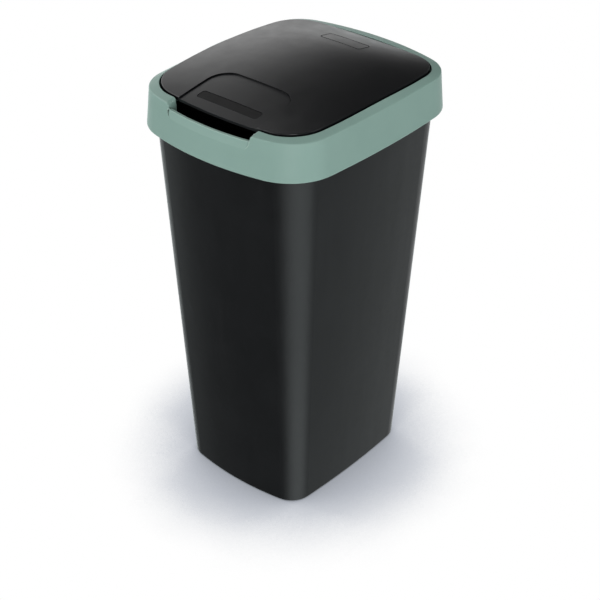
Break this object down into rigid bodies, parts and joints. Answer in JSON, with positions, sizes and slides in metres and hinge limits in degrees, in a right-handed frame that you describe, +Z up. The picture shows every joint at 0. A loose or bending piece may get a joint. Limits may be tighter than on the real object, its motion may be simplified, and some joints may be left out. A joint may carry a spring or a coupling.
{
  "type": "lidded trash can",
  "caption": "Tall tapered waste bin with bowed sides, a lift-off frame round the mouth and a domed lid that lifts by a finger notch.",
  "frame": {"origin": "middle of the bucket's base, on the floor", "axes": "+Z up, -Y towards the finger notch in the front, +X to the right of someone who stands in front and faces the notch"},
  "size_m": [0.253, 0.302, 0.5146],
  "materials": {
    "bucket_plastic": "moulded polypropylene, satin black",
    "frame_plastic": "moulded polypropylene, sage green",
    "lid_plastic": "moulded polypropylene, satin black",
    "inlay_plastic": "moulded polypropylene, matte black",
    "pin_plastic": "moulded acetal, black",
    "buffer_rubber": "soft elastomer, black"
  },
  "bodies": {
    "bucket": {"bucket": "bucket_plastic"},
    "frame": {"frame": "frame_plastic", "hinge_pin_left": "pin_plastic", "hinge_pin_right": "pin_plastic", "lid_buffer_left": "buffer_rubber", "lid_buffer_right": "buffer_rubber"},
    "lid": {"lid_panel": "lid_plastic", "label_inlay": "inlay_plastic"}
  },
  "joints": [
    {"name": "frame_lift", "type": "slide", "parent": "bucket", "child": "frame", "axis": [0, 0, 1], "range_m": [0, 0.07]},
    {"name": "lid_hinge", "type": "hinge", "parent": "frame", "child": "lid", "pos_m": [0, 0.084, 0.4926], "axis": [-1, 0, 0], "range_deg": [0, 75]}
  ]
}
